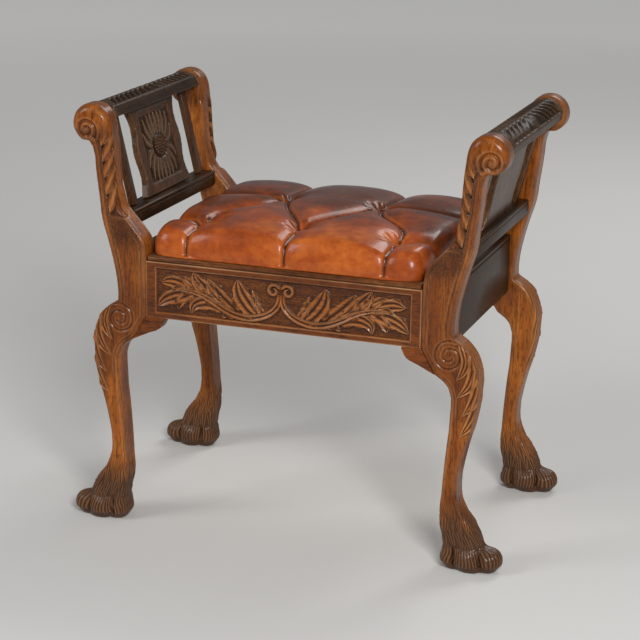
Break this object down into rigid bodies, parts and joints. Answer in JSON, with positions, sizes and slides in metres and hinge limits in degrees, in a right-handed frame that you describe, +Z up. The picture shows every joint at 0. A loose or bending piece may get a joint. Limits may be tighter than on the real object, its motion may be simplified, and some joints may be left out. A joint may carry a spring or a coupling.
{
  "type": "window seat",
  "caption": "Carved oak window seat with scrolled open arms, cabriole legs on paw feet and a deep-buttoned leather lid hinged over a shallow box.",
  "frame": {"origin": "on the floor, midway between the four feet", "axes": "+X across the width from arm to arm, -Y to the front, +Z up"},
  "size_m": [0.7452, 0.4454, 0.71],
  "materials": {
    "polished_oak": "dark French-polished oak",
    "box_pine": "plain pine inside the box",
    "tan_leather": "antiqued glossy tan leather",
    "horsehair_pad": "horsehair stuffing",
    "aged_brass": "aged brass"
  },
  "bodies": {
    "frame": {"front_right_leg_post": "polished_oak", "front_left_leg_post": "polished_oak", "back_right_leg_post": "polished_oak", "back_left_leg_post": "polished_oak", "front_apron": "polished_oak", "back_apron": "polished_oak", "left_apron": "polished_oak", "right_apron": "polished_oak", "front_left_ear_bracket": "polished_oak", "front_right_ear_bracket": "polished_oak", "back_left_ear_bracket": "polished_oak", "back_right_ear_bracket": "polished_oak", "left_crest_rail": "polished_oak", "right_crest_rail": "polished_oak", "left_lower_arm_rail": "polished_oak", "right_lower_arm_rail": "polished_oak", "left_splat": "polished_oak", "right_splat": "polished_oak", "left_front_arm_bar": "polished_oak", "left_back_arm_bar": "polished_oak", "right_front_arm_bar": "polished_oak", "right_back_arm_bar": "polished_oak", "left_side_ledge": "polished_oak", "right_side_ledge": "polished_oak", "bottom_board": "box_pine", "front_bearer": "box_pine", "back_bearer": "box_pine", "left_bearer": "box_pine", "right_bearer": "box_pine", "front_left_glue_block": "box_pine", "front_right_glue_block": "box_pine", "back_left_glue_block": "box_pine", "back_right_glue_block": "box_pine", "left_hinge_fixed_leaf": "aged_brass", "right_hinge_fixed_leaf": "aged_brass", "left_hinge_pin": "aged_brass", "right_hinge_pin": "aged_brass"},
    "lid": {"lid_board": "polished_oak", "lid_front_moulding": "polished_oak", "left_lid_batten": "box_pine", "right_lid_batten": "box_pine", "stuffing_pad": "horsehair_pad", "leather_cover": "tan_leather", "seat_button_1": "tan_leather", "seat_button_2": "tan_leather", "seat_button_3": "tan_leather", "seat_button_4": "tan_leather", "seat_button_5": "tan_leather", "left_hinge_lid_leaf": "aged_brass", "right_hinge_lid_leaf": "aged_brass"}
  },
  "joints": [
    {"name": "lid_hinge", "type": "hinge", "parent": "frame", "child": "lid", "pos_m": [0, 0.2167, 0.45915], "axis": [-1, 0, 0], "range_deg": [0, 95]}
  ]
}
